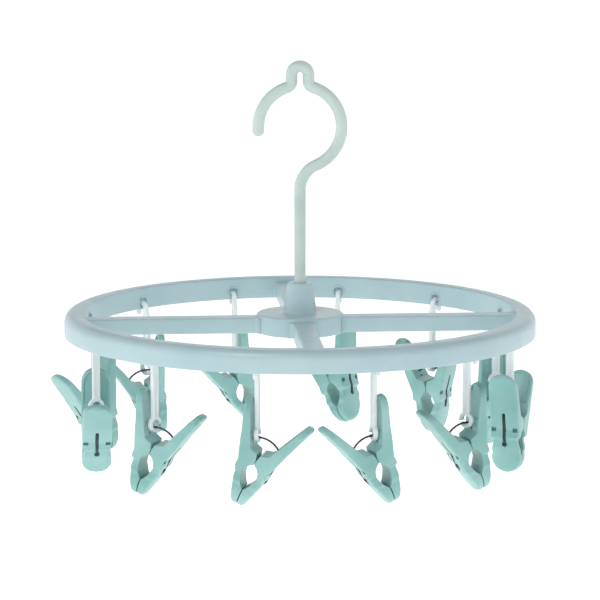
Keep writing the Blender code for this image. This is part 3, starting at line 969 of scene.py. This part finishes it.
def jaw_shape():
    """Slices (v, w, u). Outer face: v = outer - crown (w / half)^2. Inner face: v = inner + sink
    where w is further than SINK_RIM from the edge. Quarter circles join them at the corners."""
    u = jaw_heights()[:, None]
    half, outer, inner = (curve[:, None] for curve in jaw_curves(u[:, 0]))
    thick = outer - inner
    corner_out = np.minimum(np.minimum(OUTER_CORNER, 0.45 * thick), 0.85 * half)
    corner_in = np.minimum(np.minimum(INNER_CORNER, 0.3 * thick), 0.5 * half)
    block = step_up((u + 11) / 3) * step_up((13 - u) / 5)
    crown = PADDLE_CROWN + (BLOCK_CROWN - PADDLE_CROWN) * block
    crown = np.minimum(crown, 0.3 * thick)

    across = np.linspace(-1, 1, 17)[None] * (half - corner_out)
    outer_face = (across, outer - crown * (across / half) ** 2)
    a = np.radians(np.linspace(72, 0, 5))[None]
    edge = outer - crown * ((half - corner_out) / half) ** 2 - corner_out
    outer_turn = (half - corner_out + corner_out * np.cos(a), edge + corner_out * np.sin(a))
    a = np.radians(np.linspace(0, -72, 4))[None]
    inner_turn = (half - corner_in + corner_in * np.cos(a), inner + corner_in + corner_in * np.sin(a))
    share = np.array([1, 0.95, 0.9, 0.86, 0.83, 0.8, 0.76, 0.6, 0.3, 0.0])
    share = np.concatenate([share, -share[-2::-1]])[None]
    back = share * (half - corner_in)
    sunk = step_up((half - SINK_RIM - np.abs(back)) / 0.5) * step_up((u - HANDLE_SUNK[0]) / 1.5)
    sunk = HANDLE_SINK * sunk * step_up((HANDLE_SUNK[1] - u) / 0.8)
    inner_face = (back, inner + sunk)

    w = [outer_face[0], outer_turn[0], inner_turn[0], inner_face[0]]
    w += [-inner_turn[0][:, ::-1], -outer_turn[0][:, ::-1]]
    v = [outer_face[1], outer_turn[1], inner_turn[1], inner_face[1]]
    v += [inner_turn[1][:, ::-1], outer_turn[1][:, ::-1]]
    w, v = np.concatenate(w, axis=1), np.concatenate(v, axis=1)
    return skin(np.stack([v, w, np.broadcast_to(u, v.shape)], axis=-1))


print("jaw", jaw_shape()[0].shape)

# %% Carving the slot, keyhole and pockets
SLOT_HALF = 1.1
SLOT_FLOOR = 8.7
SLOT_TOP = 6.8
KEYHOLE_U = -13.2
KEYHOLE_RADIUS = 1.7
POCKET_W = (5.4, 8.6)
POCKET_U = (-5.2, -2.6)
POCKET_FLOOR = 8.6
OUTSIDE = 22.0  # past the jaw's outer face


def facing_out(outline, low, high, edge=0.0):
    """A plate drawn as seen from outside, (w, u), and given its depth along v."""
    points, faces = plate(outline, low, high, edge)
    return points[:, [2, 0, 1]], faces


def jaw_cutters():
    slot = np.vstack(
        [
            arc((0, SLOT_TOP - SLOT_HALF), SLOT_HALF, 0, 180, 12),
            [(-SLOT_HALF, KEYHOLE_U), (SLOT_HALF, KEYHOLE_U)],
        ]
    )
    keyhole = arc((0, KEYHOLE_U), KEYHOLE_RADIUS, 0, 360, 24)[:-1]
    way_in = [(6.4, 7.6), (6.4, 6.3), (SLOT_FLOOR + 0.4, 4.6), (SLOT_FLOOR + 0.4, 2), (13, 2), (13, 6.2)]
    wire_way, wire_faces = plate(np.array(way_in)[::-1], -SLOT_HALF + 0.02, SLOT_HALF - 0.02)
    shapes = [
        facing_out(slot, SLOT_FLOOR, OUTSIDE),
        facing_out(keyhole, 6.4, OUTSIDE),
        (wire_way[:, [0, 2, 1]], wire_faces),
    ]
    for side in (-1, 1):
        low, high = sorted((side * POCKET_W[0], side * POCKET_W[1]))
        corners = [(low, POCKET_U[0]), (high, POCKET_U[0]), (high, POCKET_U[1]), (low, POCKET_U[1])]
        shapes.append(facing_out(rounded(corners, 0.5), POCKET_FLOOR, OUTSIDE))
    return shapes


def make_jaw_mesh():
    mesh = mesh_of("jaw", jaw_shape())
    for shape in jaw_cutters():
        mesh = carved(mesh, shape)
    return mesh


JAW_MESH = make_jaw_mesh()
print("jaw", len(JAW_MESH.polygons), "faces")

# %% [markdown]
# ## Wire spring
# One length of 1.2 mm wire. Its middle is an arc between the handles, which the link's eye slides
# along; it passes through each handle, lies in the slot down the outside of the block, and ends
# in the keyhole. The path is a row of straight runs and an arc, softened so that every bend has
# the radius that a bending pin leaves, and a round section is carried along it. An attribute
# keeps a point's place round and along the wire, which the drawn lines in its finish follow.

# %% Wire
WIRE_RADIUS = 0.6
SPRING_CENTRE = -2.3
SPRING_RADIUS = 14.6
SPRING_HALF_ANGLE = 47
WIRE_LEG = [(12.1, 5.0), (12.2, 3.2), (10.9, -3.6), (10.35, -9.0), (10.25, -11.4)]
WIRE_LEG += [(9.7, -12.9), (8.0, -13.4)]
BEND_MM = 0.7
WIRE_STEP = 0.45
WIRE_AROUND = 16
LINE_STRETCH = 12  # how much longer than wide the drawn lines are


def wire_path():
    """(v, u) along the wire at even steps, averaged over a bell curve; its ends stay put."""
    leg = np.array(WIRE_LEG)
    top = arc(
        (0, SPRING_CENTRE), SPRING_RADIUS, 90 + SPRING_HALF_ANGLE, 90 - SPRING_HALF_ANGLE, 24
    )
    rough = np.vstack([leg[::-1] * [-1, 1], top, leg])
    run = np.concatenate([[0], np.cumsum(np.linalg.norm(np.diff(rough, axis=0), axis=1))])
    even = np.linspace(0, run[-1], round(run[-1] / WIRE_STEP))
    return np.column_stack([soft(even, np.column_stack([run, value]), BEND_MM) for value in rough.T])


def make_wire_mesh():
    path = wire_path()
    run = np.arange(len(path)) * WIRE_STEP
    from_end = np.minimum(run, run[::-1])
    radius = WIRE_RADIUS * np.sqrt(1 - np.clip(1 - (from_end + 0.05) / WIRE_RADIUS, 0, 1) ** 2)
    mesh = mesh_of("wire", bar(path, radius, WIRE_AROUND), 60)
    f = np.linspace(0, math.tau, WIRE_AROUND, endpoint=False)[None]
    run = run[:, None]
    across = (WIRE_RADIUS * np.cos(f) + 0 * run, WIRE_RADIUS * np.sin(f) + 0 * run)
    way = np.stack([*across, run / LINE_STRETCH + 0 * f], axis=-1)
    attribute = mesh.attributes.new("wire_way", "FLOAT_VECTOR", "POINT")
    attribute.data.foreach_set("vector", (way * MM).astype(np.float32).ravel())
    return mesh


WIRE_MESH = make_wire_mesh()
print("wire", len(WIRE_MESH.vertices), "points")

# %% [markdown]
# ## Hanging the links and clips
# Every station gets its own copy of the four meshes, moved to its place in the mesh itself. The
# second jaw is the first turned half round.


# %% Copies at each station
def copy_at(name, mesh, material, origin, axes):
    """A copy of a mesh with its x, y and z along the rows of axes, from an origin in mm."""
    turn = Matrix(np.asarray(axes).T.tolist()).to_4x4()
    made = mesh.copy()
    made.name = name
    made.transform(Matrix.Translation(Vector(origin * MM)) @ turn)
    if turn.determinant() < 0:
        made.flip_normals()
    return shown(name, made, material)


def hang(station):
    """One link with its clip."""
    origin, (outwards, along, up) = link_place(station)
    link = copy_at(f"link_moulding_{station}", LINK_MESH, LINK_PLASTIC, origin, [outwards, up, along])
    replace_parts(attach(link, f"link_{station}"), f"link_{station}")
    fulcrum, (v, w, u) = clip_place(station)
    for letter, body, side in (("a", "clip", -1), ("b", "free_jaw", 1)):
        name = f"jaw_moulding_{letter}_{station}"
        jaw = copy_at(name, JAW_MESH, CLIP_PLASTIC, fulcrum, [side * v, side * w, u])
        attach(jaw, f"{body}_{station}")
        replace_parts(jaw, f"jaw_{letter}_{station}")
    wire = copy_at(f"wire_spring_{station}", WIRE_MESH, WIRE_STEEL, fulcrum, [v, w, u])
    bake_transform(wire)
    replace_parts(wire, f"spring_{station}")
    return link


for station in STATIONS:
    hang(station)
